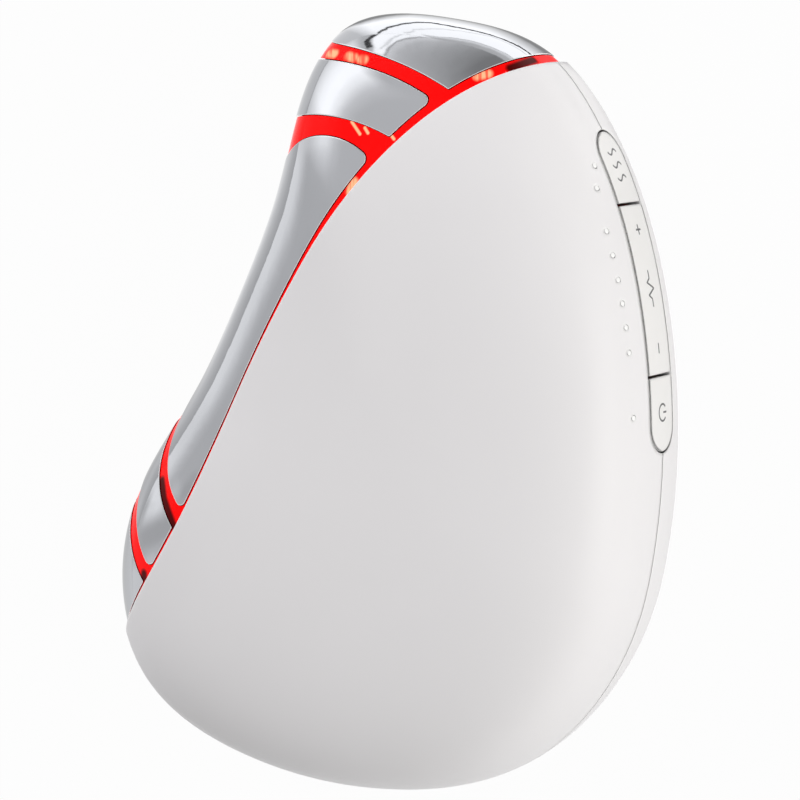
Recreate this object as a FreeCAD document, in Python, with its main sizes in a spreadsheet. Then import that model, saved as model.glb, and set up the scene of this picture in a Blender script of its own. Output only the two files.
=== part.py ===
import FreeCAD, Part
import Sketcher
import math
import os
from FreeCAD import Placement, Rotation, Vector

# Face massager with a metal working edge, lying on its rear face: +Z out of the front,
# -X the working edge, +X the key side, +Y the crown end. Lengths in millimetres.

SIZES = {
    # housing
    "body_width": 72.0,
    "body_length": 104.0,
    "front_height": 15.6,
    "rear_height": 15.5,
    "rest_cut": 0.5,
    "shell_wall": 1.8,
    "tongue_thickness": 0.8,
    "tongue_height": 1.2,
    "tongue_clearance": 0.1,
    "tongue_setback": 0.1,
    "seam_width": 0.2,
    "seam_depth": 0.3,
    # working head
    "head_step": 0.5,
    "plate_thickness": 0.7,
    "plate_border": 1.4,
    "plate_corner": 1.0,
    "plate_gap": 0.12,
    "band_recess": 0.15,
    "arc_lead": 15.0,
    "glue_gap": 0.05,
    "guide_wall": 1.6,
    "guide_clearance": 0.1,
    "lip_reach": 3.0,
    "rib_thickness": 1.6,
    "rib_half_height": 8.0,
    "stud_diameter": 2.0,
    "stud_length": 4.8,
    "stud_clearance": 0.15,
    "film_thickness": 0.2,
    "film_length": 20.0,
    "film_reach": 6.0,
    "sensor_diameter": 2.2,
    "sensor_length": 3.0,
    # glow board behind the light guide
    "glow_board_length": 62.0,
    "glow_board_height": 13.0,
    "glow_board_thickness": 1.0,
    "glow_board_margin": 16.5,
    "glow_board_centre": 2.0,
    "red_led_length": 3.5,
    "red_led_width": 2.8,
    "red_led_height": 1.9,
    "red_led_count": 9,
    # key strip
    "strip_length": 41.1,
    "strip_width": 7.2,
    "end_key_length": 9.7,
    "key_slit": 0.35,
    "key_clearance": 0.25,
    "key_inset": 0.05,
    "flange_reach": 0.7,
    "flange_gap": 0.15,
    "flange_thickness": 0.8,
    "stem_width": 2.4,
    "stem_gap": 0.5,
    "rocker_reach": 7.0,
    "pivot_depth": 3.6,
    "pivot_diameter": 1.5,
    "pivot_length": 11.6,
    "pivot_clearance": 0.05,
    "lug_diameter": 3.4,
    "lug_height": 6.4,
    "pivot_boss_diameter": 4.0,
    "pivot_boss_gap": 0.8,
    # indicators
    "indicator_level": 6.7,
    "pipe_diameter": 0.6,
    "pipe_clearance": 0.05,
    "pipe_recess": 0.2,
    "bar_depth": 7.0,
    "bar_thickness": 1.0,
    "bar_width": 3.2,
    "bar_margin": 1.2,
    "indicator_led_size": 1.0,
    "indicator_led_height": 0.7,
    # key board
    "key_board_depth": 9.3,
    "key_board_length": 36.0,
    "key_board_rise": 8.6,
    "key_board_thickness": 1.0,
    "switch_width": 4.5,
    "switch_height": 1.9,
    "plunger_diameter": 2.0,
    "plunger_height": 0.8,
    # main board
    "board_level": 7.0,
    "board_thickness": 1.2,
    "board_inset": 7.0,
    "board_left": 14.0,
    "board_upper_margin": 16.0,
    "board_lead": 0.5,
    "boss_diameter": 5.0,
    "screw_diameter": 1.8,
    "screw_length": 5.0,
    "screw_head_diameter": 3.6,
    "screw_head_height": 1.2,
    "screw_socket": 1.2,
    "screw_socket_depth": 0.6,
    "screw_clearance": 0.1,
    "screw_margin": 1.5,
    "upper_screw_reach": 12.0,
    "lower_screw_reach": 7.4,
    "component_gap": 1.0,
    "chip_width": 7.0,
    "chip_height": 1.0,
    "chip_chamfer": 0.2,
    "charger_width": 3.0,
    "charger_height": 0.8,
    "inductor_diameter": 5.8,
    "inductor_height": 3.0,
    "inductor_flange": 0.5,
    "inductor_core_diameter": 4.2,
    "capacitor_diameter": 4.0,
    "capacitor_height": 5.4,
    "capacitor_pitch": 5.0,
    # battery
    "battery_upper_margin": 40.0,
    "battery_lower_margin": 22.0,
    "battery_width": 28.0,
    "battery_height": 6.5,
    "battery_round": 2.0,
    "battery_centre_x": 1.0,
    "pad_thickness": 0.5,
    "pad_margin": 3.0,
    "lead_diameter": 1.1,
    "lead_spacing": 3.0,
    "lead_rise": 3.0,
    "lead_run": 6.0,
    "lead_bend": 1.6,
    # charging socket
    "socket_width": 8.94,
    "socket_height": 3.26,
    "socket_length": 7.35,
    "socket_wall": 0.3,
    "socket_clearance": 0.25,
    "socket_recess": 0.8,
    "socket_back": 1.0,
    "blade_width": 6.7,
    "blade_height": 0.7,
    # link ribbon
    "ribbon_width": 6.0,
    "ribbon_thickness": 0.3,
    "ribbon_level": 1.5,
    "ribbon_foot": 3.0,
    # every cut runs this far past what it cuts
    "overrun": 1.0,
}

# Plan outline of the housing, counter-clockwise, in shares of the half width and half length.
OUTLINE_SHARES = (
    (0.984, -0.098), (0.885, 0.161), (0.724, 0.418), (0.499, 0.666), (0.207, 0.876), (-0.123, 0.994),
    (-0.473, 0.973), (-0.820, 0.860), (-0.859, 0.466), (-0.864, 0.138), (-0.906, -0.151), (-0.996, -0.462),
    (-0.943, -0.731), (-0.699, -0.940), (-0.188, -0.995), (0.382, -0.884), (0.789, -0.677), (0.979, -0.392),
)
# The domes' highest point, and the fullness of their section.
CROWN_SHARES = (0.183, -0.098)
PROFILE_SHARES = (0.76, 0.79)
# The edge of the white shells beside the head, from the crown end down.
SHELL_EDGE_SHARES = (
    (0.159, 1.065), (-0.235, 0.813), (-0.474, 0.434), (-0.593, -0.014), (-0.646, -0.412), (-0.744, -0.704),
    (-0.908, -1.087),
)
# The border between that edge and the plates, at the same points, in shares of its full width.
BORDER_SHARES = (1.0, 1.03, 0.68, 0.42, 0.45, 0.40, 0.38)
# Arcs across the head, each from near the working edge to under the shells: start, middle and end.
CROWN_FOOT_SHARES = ((-0.754, 0.818), (-0.449, 0.849), (-0.142, 0.833))
UPPER_HEAD_SHARES = ((-0.791, 0.767), (-0.491, 0.812), (-0.184, 0.794))
UPPER_FOOT_SHARES = ((-0.785, 0.621), (-0.537, 0.681), (-0.276, 0.677))
LONG_HEAD_SHARES = ((-0.769, 0.533), (-0.571, 0.627), (-0.337, 0.588))
LONG_FOOT_SHARES = ((-0.860, -0.234), (-0.777, -0.364), (-0.590, -0.424))
LOWER_HEAD_SHARES = ((-0.880, -0.309), (-0.777, -0.422), (-0.607, -0.488))
LOWER_FOOT_SHARES = ((-0.920, -0.457), (-0.817, -0.563), (-0.653, -0.622))
TIP_HEAD_SHARES = ((-0.906, -0.555), (-0.801, -0.625), (-0.669, -0.667))
# Each plate with the arc under it and the arc over it, and the rounding of its corner at each.
PLATE_SHARES = {
    "crown_electrode": (CROWN_FOOT_SHARES, None, 0.2, None),
    "upper_shoulder_electrode": (UPPER_FOOT_SHARES, UPPER_HEAD_SHARES, 0.35, 0.8),
    "long_edge_electrode": (LONG_FOOT_SHARES, LONG_HEAD_SHARES, 0.9, 1.0),
    "lower_shoulder_electrode": (LOWER_FOOT_SHARES, LOWER_HEAD_SHARES, 1.0, 0.2),
    "tip_electrode": (None, TIP_HEAD_SHARES, None, 0.2),
}
# Where the contact studs and the heat sensor meet the working edge.
STUD_SHARES = ((-0.450, 0.980), (-0.860, 0.670), (-0.870, -0.050), (-0.945, -0.305), (-0.980, -0.600))
SENSOR_SHARES = (-0.860, 0.190)
# Middle of the key strip, and its indicators as shares of half the strip and of their level.
STRIP_SHARES = (0.600, 0.570)
INDICATOR_SHARES = (
    (-0.783, 0.76), (-0.647, 0.91), (-0.384, 1.0), (-0.236, 1.0), (-0.086, 1.0), (0.058, 1.0), (0.203, 1.0),
    (0.355, 1.0), (0.745, 1.0),
)
# The charging socket's place across the body, and the screws' places along and across the battery.
SOCKET_SHARE = -0.160
SCREW_ALONG_SHARE = 0.14
SCREW_ACROSS_SHARE = -0.30
LIP_SHARE = 0.5

doc = FreeCAD.newDocument("face_massager")
sheet = doc.addObject("Spreadsheet::Sheet", "sizes")
for row, (alias, value) in enumerate(SIZES.items(), start=1):
    sheet.set("A%d" % row, alias)
    sheet.set("B%d" % row, str(value))
    sheet.setAlias("B%d" % row, alias)
doc.recompute()
size = {alias: sheet.get(alias) for alias in SIZES}

UP = Vector(0, 0, 1)
half_width = size["body_width"] / 2
half_length = size["body_length"] / 2
parting = size["rear_height"]
total_height = parting + size["front_height"]
overrun = size["overrun"]
far = size["body_length"]
guide_inset = size["head_step"] + size["plate_thickness"] + size["glue_gap"]
lip_inset = size["shell_wall"] + size["guide_clearance"]
guide_floor = lip_inset + size["guide_wall"]
board_top = size["board_level"] + size["board_thickness"]
battery_right = size["battery_centre_x"] + size["battery_width"] / 2
battery_upper = half_length - size["battery_upper_margin"]
battery_lower = size["battery_lower_margin"] - half_length

kept = []


def keep(obj, label):
    """Names a document object as one piece of the product."""
    obj.Label = label
    kept.append(obj)
    return obj


def feature(label, shape):
    """A piece whose shape is worked out here from the sheet's sizes."""
    obj = doc.addObject("Part::Feature", label)
    obj.Shape = shape
    return keep(obj, label)


def bind(obj, formulas):
    """Binds properties of a document object to the sheet."""
    for prop, formula in formulas.items():
        obj.setExpression(prop, formula)
    return obj


def plan(shares, level=0.0):
    """A point of the plan from its shares of the half width and half length.

    The head lies a step inside the outline at two sides, so the plan is moved by half
    of that step to keep the whole part about its origin.
    """
    shift = size["head_step"] / 2
    return Vector(shares[0] * half_width - shift, shares[1] * half_length + shift, level)


# Outer form


def outline_curve(inset=0.0):
    """The closed plan outline in the parting plane, moved inwards."""
    points = [plan(shares, parting) for shares in OUTLINE_SHARES]
    curve = Part.BSplineCurve()
    curve.interpolate(Points=points, PeriodicFlag=True)
    if not inset:
        return curve
    moved = []
    for point in points:
        along = curve.tangent(curve.parameter(point))[0]
        moved.append(point + Vector(-along.y, along.x, 0) * inset)
    inner = Part.BSplineCurve()
    inner.interpolate(Points=moved, PeriodicFlag=True)
    return inner


def dome_face(inset, height):
    """A dome over the outline, upright at the parting plane and level at its crown."""
    curve = outline_curve(inset)
    crown = plan(CROWN_SHARES, parting)
    rise, fullness = PROFILE_SHARES
    section = ((1, 0), (1, rise), (fullness, 1), (0, 1))
    poles = [[crown + (pole - crown) * share + UP * (height * lift) for share, lift in section]
             for pole in curve.getPoles()]
    ends = [len(section), len(section)]
    surface = Part.BSplineSurface()
    surface.buildFromPolesMultsKnots(poles, curve.getMultiplicities(), ends, curve.getKnots(), [0, 1],
                                     True, False, curve.Degree, len(section) - 1)
    return surface.toShape()


def closed_solid(faces):
    shell = Part.makeShell(faces)
    shell.sewShape()
    solid = Part.makeSolid(shell)
    if solid.Volume < 0:
        solid.reverse()
    return solid


def pebble(inset=0.0):
    """The whole housing form, moved inwards."""
    rear = size["rear_height"] + size["rest_cut"]
    return closed_solid([dome_face(inset, size["front_height"] - inset), dome_face(inset, inset - rear)])


def slab(low, high):
    """All of space between two levels, wide enough for the part."""
    corner = Vector(-far, -far, low)
    return Part.makeBox(2 * far, 2 * far, high - low, corner)


def prism(edges, low=-overrun, high=total_height + overrun):
    """A closed plan line carried upwards."""
    face = Part.Face(Part.Wire(Part.__sortEdges__(edges)))
    face.translate(UP * low)
    return face.extrude(UP * (high - low))


def lines(points):
    return [Part.makeLine(a, b) for a, b in zip(points[:-1], points[1:])]


def shell_edge(shift=0.0, border=0.0):
    """The line where the shells end, moved towards the key side, or by the plates' border the other way."""
    points = [plan(shares) for shares in SHELL_EDGE_SHARES]
    curve = Part.BSplineCurve()
    curve.interpolate(Points=points)
    moved = []
    for point, share in zip(points, BORDER_SHARES):
        along = curve.tangent(curve.parameter(point))[0]
        moved.append(point + Vector(-along.y, along.x, 0) * (shift - share * border))
    curve.interpolate(Points=moved)
    return curve


def side_of_edge(side, shift=0.0, border=0.0):
    """Everything on one side of the shells' edge: 1 the key side, -1 the working edge."""
    curve = shell_edge(shift, border)
    start = curve.StartPoint
    end = curve.EndPoint
    corners = [end, Vector(end.x, -far, 0), Vector(side * far, -far, 0), Vector(side * far, far, 0),
               Vector(start.x, far, 0), start]
    return prism([curve.toShape()] + lines(corners))


def side_of_arc(shares, side, grow):
    """Everything beyond an arc across the head, 1 towards the crown end and -1 towards the tip, and a margin.

    The arc runs straight on from its start to pass round the working edge.
    """
    points = [plan(pair) for pair in shares]
    circle = Part.Arc(*points).toShape().Curve
    centre = circle.Center
    margin = -grow if side * (points[1].y - centre.y) > 0 else grow
    start, middle, end = [centre + (point - centre) * (1 + margin / circle.Radius) for point in points]
    ahead = UP.cross(start - centre).normalize()
    if ahead.dot(start - middle) < 0:
        ahead = -ahead
    lead = start + ahead * size["arc_lead"]
    corners = [end, Vector(far, end.y, 0), Vector(far, side * far, 0), Vector(-far, side * far, 0),
               Vector(-far, lead.y, 0), lead, start]
    return prism([Part.Arc(start, middle, end).toShape()] + lines(corners))


def upright_edges(shape):
    """Straight edges that run along Z."""
    found = []
    for edge in shape.Edges:
        ends = [vertex.Point for vertex in edge.Vertexes]
        if len(ends) == 2 and (ends[1] - ends[0]).cross(UP).Length < size["glue_gap"]:
            found.append(edge)
    return found


def edge_point(shares):
    """The nearest point of the outline and the direction inwards from it."""
    curve = outline_curve()
    at = curve.parameter(plan(shares, parting))
    along = curve.tangent(at)[0]
    return curve.value(at), Vector(-along.y, along.x, 0)


# Frame of the key strip: first along the strip towards the power key, second outwards, third up

strip_origin, strip_inwards = edge_point(STRIP_SHARES)
strip_out = -strip_inwards
strip_turn = math.degrees(math.atan2(-strip_out.x, strip_out.y))
strip_frame = Placement(strip_origin, Rotation(UP, strip_turn))
half_strip = size["strip_length"] / 2
half_strip_width = size["strip_width"] / 2
divider = half_strip - size["end_key_length"]
key_depth = size["shell_wall"] + size["flange_gap"] + size["flange_thickness"]
stem_end = size["key_board_depth"] - size["switch_height"] - size["plunger_height"] - size["stem_gap"]


def in_strip(shape):
    """Moves a shape made in the strip's own frame to its place."""
    shape.Placement = strip_frame.multiply(shape.Placement)
    return shape


def strip_prism(start, end, half, round_start=False, round_end=False):
    """An outline of the strip carried inwards; its ends are straight or half round."""
    near = start + half if round_start else start
    distant = end - half if round_end else end
    front = overrun + size["key_board_depth"]
    corners = [Vector(near, front, half), Vector(distant, front, half), Vector(distant, front, -half),
               Vector(near, front, -half)]
    edges = [Part.makeLine(corners[0], corners[1]), Part.makeLine(corners[2], corners[3])]
    caps = ((round_end, corners[1], Vector(end, front, 0), corners[2]),
            (round_start, corners[3], Vector(start, front, 0), corners[0]))
    for is_round, first, middle, last in caps:
        edges.append(Part.Arc(first, middle, last).toShape() if is_round else Part.makeLine(first, last))
    face = Part.Face(Part.Wire(Part.__sortEdges__(edges)))
    return in_strip(face.extrude(Vector(0, -2 * front, 0)))


def strip_box(along, depth, level, length, thickness, height):
    """A box of the strip's frame: middle along, front depth, middle level above the parting plane."""
    corner = Vector(along - length / 2, -depth - thickness, level - height / 2)
    return in_strip(Part.makeBox(length, thickness, height, corner))


def strip_rod(along, level, diameter, depth):
    """A round rod that runs outwards from a depth."""
    base = Vector(along, -depth, level)
    return in_strip(Part.makeCylinder(diameter / 2, depth + half_strip, base, Vector(0, 1, 0)))


def pivot_rod(diameter, low, high):
    """A round rod on the rocker's axis between two levels above the parting plane."""
    base = Vector(0, -size["pivot_depth"], low)
    return in_strip(Part.makeCylinder(diameter / 2, high - low, base))


outer = pebble()
inner = pebble(size["shell_wall"])
key_slot = strip_prism(-half_strip, half_strip, half_strip_width, True, True)


# Light guide and plates of the working head


def plate_region(foot, head, foot_corner, head_corner, grow):
    """The plan of one plate and a margin, carried upwards, with its corners at the border rounded."""
    region = side_of_edge(-1, grow, size["plate_border"])
    border = shell_edge(grow, size["plate_border"])
    if foot:
        region = region.common(side_of_arc(foot, 1, grow))
    if head:
        region = region.common(side_of_arc(head, -1, grow))
    corners = []
    for edge in upright_edges(region):
        place = Vector(edge.CenterOfMass.x, edge.CenterOfMass.y, 0)
        apart = (border.value(border.parameter(place)) - place).Length
        if apart < size["glue_gap"] and abs(place.y) < half_length and abs(place.x) < half_width:
            corners.append(edge)
    corners.sort(key=lambda edge: edge.CenterOfMass.y)
    roundings = [share for share in (foot_corner, head_corner) if share]
    for share, place in zip(roundings, [edge.CenterOfMass for edge in corners]):
        near = [edge for edge in upright_edges(region)
                if (edge.CenterOfMass - place).Length < size["glue_gap"]]
        region = region.makeFillet(share * size["plate_corner"] + grow, near)
    return region


def head_plates():
    """The metal plates, cut from one skin by arcs across the head and a border along the shells."""
    skin = pebble(size["head_step"]).cut(pebble(size["head_step"] + size["plate_thickness"]))
    for label, shape in PLATE_SHARES.items():
        feature(label, skin.common(plate_region(*shape, 0)).Solids[0])


def normal_rod(shares, diameter, start, length):
    """A round rod in the parting plane, square to the working edge, from a depth inwards."""
    point, inwards = edge_point(shares)
    return Part.makeCylinder(diameter / 2, length, point + inwards * start, inwards)


def film_band(outer_inset, inner_inset, margin):
    """A band of the head's skin behind the long plate."""
    middle = edge_point(SENSOR_SHARES)[0]
    length = size["film_length"] + 2 * margin
    reach = size["film_reach"] + margin
    corner = Vector(-far, middle.y - length / 2, -overrun)
    region = Part.makeBox(far + middle.x + reach, length, total_height + 2 * overrun, corner)
    return pebble(outer_inset).cut(pebble(inner_inset)).common(region)


glow_front = size["glow_board_margin"] + size["glow_board_thickness"] + size["glue_gap"]
glow_low = size["glow_board_centre"] - size["glow_board_length"] / 2
glow_high = size["glow_board_centre"] + size["glow_board_length"] / 2


def guide_ribs():
    """Two ribs across the guide, with the slots that hold the glow board's ends."""
    ribs = []
    for end in (glow_low, glow_high - size["rib_thickness"]):
        corner = Vector(-half_width, end, parting - size["rib_half_height"])
        reach = half_width - size["glow_board_margin"] + size["rib_thickness"]
        rib = Part.makeBox(reach, size["rib_thickness"], 2 * size["rib_half_height"], corner)
        ribs.append(rib.common(pebble(lip_inset + size["guide_wall"] * LIP_SHARE)))
    slot = Part.makeBox(size["glow_board_thickness"] + 2 * size["glue_gap"],
                        size["glow_board_length"] + 2 * overrun,
                        size["glow_board_height"] + 2 * size["glue_gap"],
                        Vector(-glow_front, glow_low - overrun,
                               parting - size["glow_board_height"] / 2 - size["glue_gap"]))
    return [rib.cut(slot) for rib in ribs]


def light_guide():
    """Hollow red body of the head, with a lip trapped under the shells."""
    head = pebble(size["head_step"] + size["band_recess"]).common(side_of_edge(-1, -size["guide_clearance"]))
    bed = pebble(guide_inset)
    for shape in PLATE_SHARES.values():
        head = head.cut(plate_region(*shape, size["plate_gap"]).cut(bed))
    lip = pebble(lip_inset).common(side_of_edge(-1, size["lip_reach"]))
    guide = head.fuse(lip).cut(pebble(guide_floor)).fuse(guide_ribs())
    pocket = film_band(size["head_step"], guide_inset + size["film_thickness"] + size["glue_gap"],
                       size["stud_clearance"])
    guide = guide.cut(pocket)
    bore = size["stud_diameter"] + 2 * size["stud_clearance"]
    for shares in STUD_SHARES:
        guide = guide.cut(normal_rod(shares, bore, 0, size["stud_length"] + guide_inset))
    bore = size["sensor_diameter"] + 2 * size["stud_clearance"]
    guide = guide.cut(normal_rod(SENSOR_SHARES, bore, 0, size["sensor_length"] + guide_floor))
    feature("light_guide", guide.removeSplitter().Solids[0])


def head_inside():
    """Contact studs, heater film and heat sensor."""
    studs = [normal_rod(shares, size["stud_diameter"], guide_inset, size["stud_length"])
             for shares in STUD_SHARES]
    feature("electrode_studs", Part.makeCompound(studs))
    film = film_band(guide_inset, guide_inset + size["film_thickness"], 0)
    feature("heater_film", film.Solids[0])
    sensor_start = guide_inset + size["film_thickness"] + size["glue_gap"]
    sensor = normal_rod(SENSOR_SHARES, size["sensor_diameter"], sensor_start, size["sensor_length"])
    sensor = sensor.makeFillet(size["sensor_diameter"] / 4, [sensor.Edges[0]])
    feature("temperature_sensor", sensor)


# White shells


tongue_inside = size["shell_wall"] - size["tongue_setback"]
tongue_outside = tongue_inside - size["tongue_thickness"]


def tongue():
    """The rim that stands on the rear shell, rooted in its wall."""
    rim = prism([outline_curve(tongue_outside).toShape()], -overrun, size["tongue_height"])
    hollow = prism([outline_curve(tongue_inside).toShape()], -2 * overrun, size["tongue_height"] + overrun)
    return rim.cut(hollow)


def tongue_rebate():
    """The room that the front shell leaves for the rear shell's rim."""
    clearance = size["tongue_clearance"]
    room = outline_curve(tongue_outside - clearance).toShape()
    return prism([room], -overrun, size["tongue_height"] + clearance)


def seam():
    """The fine groove round the housing where the shells meet."""
    low = -size["seam_width"] / 2
    high = size["seam_width"] / 2
    ring = prism([outline_curve(-overrun).toShape()], low, high)
    return ring.cut(prism([outline_curve(size["seam_depth"]).toShape()], low - overrun, high + overrun))


def pivot_boss(side):
    """A socket for one end of the rocker's pin, 1 in the front shell and -1 in the rear."""
    start = half_strip_width + size["pivot_boss_gap"]
    reach = size["front_height"]
    levels = sorted((side * start, side * reach))
    boss = pivot_rod(size["pivot_boss_diameter"], *levels)
    return boss.common(pebble(size["shell_wall"] * LIP_SHARE))


def pivot_bore():
    half = size["pivot_length"] / 2 + size["pivot_clearance"]
    return pivot_rod(size["pivot_diameter"] + 2 * size["pivot_clearance"], -half, half)


def socket_middle():
    """The middle of the charging socket's opening, on the outer wall."""
    level = board_top + size["socket_height"] / 2
    across = SOCKET_SHARE * half_width
    ray = Part.makeLine(Vector(across, -far, level), Vector(across, 0, level))
    wall = min(vertex.Y for vertex in outer.common(ray).Vertexes)
    return Vector(across, wall, level)


def front_shell():
    shell = outer.common(slab(parting, total_height + overrun)).common(side_of_edge(1)).cut(inner)
    shell = shell.fuse(pivot_boss(1))
    shell = shell.cut(tongue_rebate()).cut(seam()).cut(key_slot).cut(pivot_bore())
    for along_share, level_share in INDICATOR_SHARES:
        bore = size["pipe_diameter"] + 2 * size["pipe_clearance"]
        shell = shell.cut(strip_rod(along_share * half_strip, level_share * size["indicator_level"], bore,
                                    size["bar_depth"]))
    feature("front_shell", shell.removeSplitter().Solids[0])


def rear_shell():
    shell = outer.common(slab(0, parting)).common(side_of_edge(1)).cut(inner)
    shell = shell.fuse(tongue().common(side_of_edge(1)))
    bosses = []
    for place in screw_places():
        rod = Part.makeCylinder(size["boss_diameter"] / 2, size["board_level"], place)
        bosses.append(rod.common(pebble(size["shell_wall"] * LIP_SHARE)))
    shell = shell.fuse(bosses + [pivot_boss(-1)])
    bore = size["screw_diameter"] / 2 + size["screw_clearance"]
    for place in screw_places():
        start = place + UP * (size["board_level"] - size["screw_length"])
        shell = shell.cut(Part.makeCylinder(bore, size["screw_length"] + overrun, start))
    shell = shell.cut(seam()).cut(key_slot).cut(pivot_bore()).cut(socket_opening())
    feature("rear_shell", shell.removeSplitter().Solids[0])


def slot_solid(width, height, start, length):
    """A flat-sided slot with round ends, along Y from a middle point."""
    half = height / 2
    side = width / 2 - half
    points = [Vector(side, 0, half), Vector(width / 2, 0, 0), Vector(side, 0, -half), Vector(-side, 0, -half),
              Vector(-width / 2, 0, 0), Vector(-side, 0, half)]
    edges = [Part.Arc(*points[:3]).toShape(), Part.makeLine(points[2], points[3]),
             Part.Arc(*points[3:]).toShape(), Part.makeLine(points[5], points[0])]
    face = Part.Face(Part.Wire(edges))
    face.translate(start)
    return face.extrude(Vector(0, length, 0))


def socket_opening():
    margin = 2 * size["socket_clearance"]
    start = socket_middle() - Vector(0, overrun, 0)
    return slot_solid(size["socket_width"] + margin, size["socket_height"] + margin, start,
                      size["socket_length"] + overrun)


# Keys


def key_cap(start, end, round_start=False, round_end=False):
    """A key's cap: the strip between two ends, with the housing's own outer form."""
    half = half_strip_width - size["key_clearance"]
    cap = strip_prism(start, end, half, round_start, round_end).common(pebble(size["key_inset"]))
    return cap.cut(pebble(key_depth))


def key_stem(along):
    """The stem that reaches from a cap to its switch."""
    stem = strip_box(along, -half_strip, 0, size["stem_width"], half_strip + stem_end, size["stem_width"])
    return stem.common(pebble(key_depth * LIP_SHARE))


def key_flange(start, end):
    """Ledges above and below an end key that keep it behind the wall."""
    half = half_strip_width + size["flange_reach"]
    ledge = strip_prism(start, end, half)
    top = size["shell_wall"] + size["flange_gap"]
    return ledge.common(pebble(top)).cut(pebble(key_depth))


def keys():
    inset = size["key_clearance"]
    slit = size["key_slit"] / 2
    outside = half_strip - inset
    inside = divider + slit
    straight = outside - half_strip_width
    middle = (inside + outside) / 2
    for label, side in (("heat_key", -1), ("power_key", 1)):
        start, end = sorted((side * outside, side * inside))
        cap = key_cap(start, end, side < 0, side > 0)
        flange = key_flange(*sorted((side * straight, side * inside)))
        key = cap.fuse([flange, key_stem(side * middle)]).removeSplitter()
        feature(label, key.Solids[0])
    rocker = key_cap(slit - divider, divider - slit)
    lug_half = size["lug_height"] / 2
    lug = pivot_rod(size["lug_diameter"], -lug_half, lug_half)
    stems = [key_stem(side * size["rocker_reach"]) for side in (-1, 1)]
    rocker = rocker.fuse(stems + [lug])
    bore = size["pivot_diameter"] + 2 * size["pivot_clearance"]
    rocker = rocker.cut(pivot_rod(bore, -half_strip_width, half_strip_width))
    feature("level_rocker", rocker.removeSplitter().Solids[0])
    half = size["pivot_length"] / 2
    feature("rocker_pin", pivot_rod(size["pivot_diameter"], -half, half))


# Key board, switches and indicators


def key_electronics():
    low = board_top - parting
    height = size["key_board_rise"] - low
    board = strip_box(0, size["key_board_depth"], low + height / 2, size["key_board_length"],
                      size["key_board_thickness"], height)
    feature("key_board", board)
    middle = half_strip - size["end_key_length"] / 2
    switches = []
    side = size["switch_width"]
    body_depth = size["key_board_depth"] - size["switch_height"]
    for along in (-middle, -size["rocker_reach"], size["rocker_reach"], middle):
        body = strip_box(along, body_depth, 0, side, size["switch_height"], side)
        base = Vector(along, -body_depth, 0)
        plunger = Part.makeCylinder(size["plunger_diameter"] / 2, size["plunger_height"], base,
                                    Vector(0, 1, 0))
        switches.append(body.fuse(in_strip(plunger)))
    feature("tact_switches", Part.makeCompound(switches))
    lights = []
    bar_middle = size["indicator_level"] - size["bar_width"] / 2 + size["pipe_diameter"]
    alongs = [pair[0] * half_strip for pair in INDICATOR_SHARES]
    length = max(alongs) - min(alongs) + 2 * size["bar_margin"]
    bar = strip_box((max(alongs) + min(alongs)) / 2, size["bar_depth"], bar_middle, length,
                    size["bar_thickness"], size["bar_width"])
    pins = []
    for along, pair in zip(alongs, INDICATOR_SHARES):
        level = pair[1] * size["indicator_level"]
        pin = strip_rod(along, level, size["pipe_diameter"], size["bar_depth"] + size["bar_thickness"] / 2)
        pins.append(pin.common(pebble(size["pipe_recess"])))
        lights.append(strip_box(along, size["key_board_depth"] - size["indicator_led_height"], level,
                                size["indicator_led_size"], size["indicator_led_height"],
                                size["indicator_led_size"]))
    feature("indicator_light_bar", bar.fuse(pins).removeSplitter().Solids[0])
    feature("indicator_leds", Part.makeCompound(lights))


# Main board and what stands on it


def screw_places():
    """Two screws beside the battery and one beyond each of its ends."""
    beside = battery_right + size["screw_head_diameter"] / 2 + size["screw_margin"]
    across = size["battery_centre_x"] + SCREW_ACROSS_SHARE * size["battery_width"]
    indent = SCREW_ALONG_SHARE * (battery_upper - battery_lower)
    return [Vector(across, battery_upper + size["upper_screw_reach"], 0),
            Vector(beside, battery_upper - indent, 0),
            Vector(beside, battery_lower + indent, 0),
            Vector(across, battery_lower - size["lower_screw_reach"], 0)]


def main_board():
    """A board that follows the housing's outline, cut off at the key board, the head and the crown end."""
    outline = outline_curve(size["board_inset"]).toShape()
    board = prism([outline], size["board_level"] - parting, board_top - parting)
    lead = size["key_board_depth"] - size["board_lead"]
    ahead = in_strip(Part.makeBox(2 * far, far, 2 * far, Vector(-far, -lead, -far)))
    beside = Part.makeBox(far, 2 * far, 2 * far, Vector(-size["board_left"] - far, -far, -far))
    beyond = Part.makeBox(2 * far, far, 2 * far, Vector(-far, half_length - size["board_upper_margin"], -far))
    board = board.cut(ahead).cut(beside).cut(beyond)
    bore = size["screw_diameter"] / 2 + size["screw_clearance"]
    for place in screw_places():
        board = board.cut(Part.makeCylinder(bore, total_height, place))
    feature("main_board", board.Solids[0])


def body_on_plane(name, role="XY_Plane"):
    """A new body with a sketch on one of its own planes."""
    body = doc.addObject("PartDesign::Body", name)
    sketch = body.newObject("Sketcher::SketchObject", name + "_sketch")
    plane = [item for item in body.Origin.OriginFeatures if item.Role == role][0]
    sketch.AttachmentSupport = (plane, [""])
    sketch.MapMode = "FlatFace"
    return body, sketch


def driven_polygon(sketch, corners):
    """A closed line of the sketch; each corner's two coordinates follow formulas of the sheet."""
    count = len(corners)
    turns = [2 * math.pi * i / count for i in range(count)]
    start = [Vector(math.cos(turn), math.sin(turn), 0) for turn in turns]
    for i in range(count):
        sketch.addGeometry(Part.LineSegment(start[i], start[(i + 1) % count]))
    for i in range(count):
        sketch.addConstraint(Sketcher.Constraint("Coincident", i, 2, (i + 1) % count, 1))
    for i, pair in enumerate(corners):
        for kind, formula in zip(("DistanceX", "DistanceY"), pair):
            at = sketch.addConstraint(Sketcher.Constraint(kind, -1, 1, i, 1, 0))
            sketch.setExpression("Constraints[%d]" % at, formula)


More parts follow.
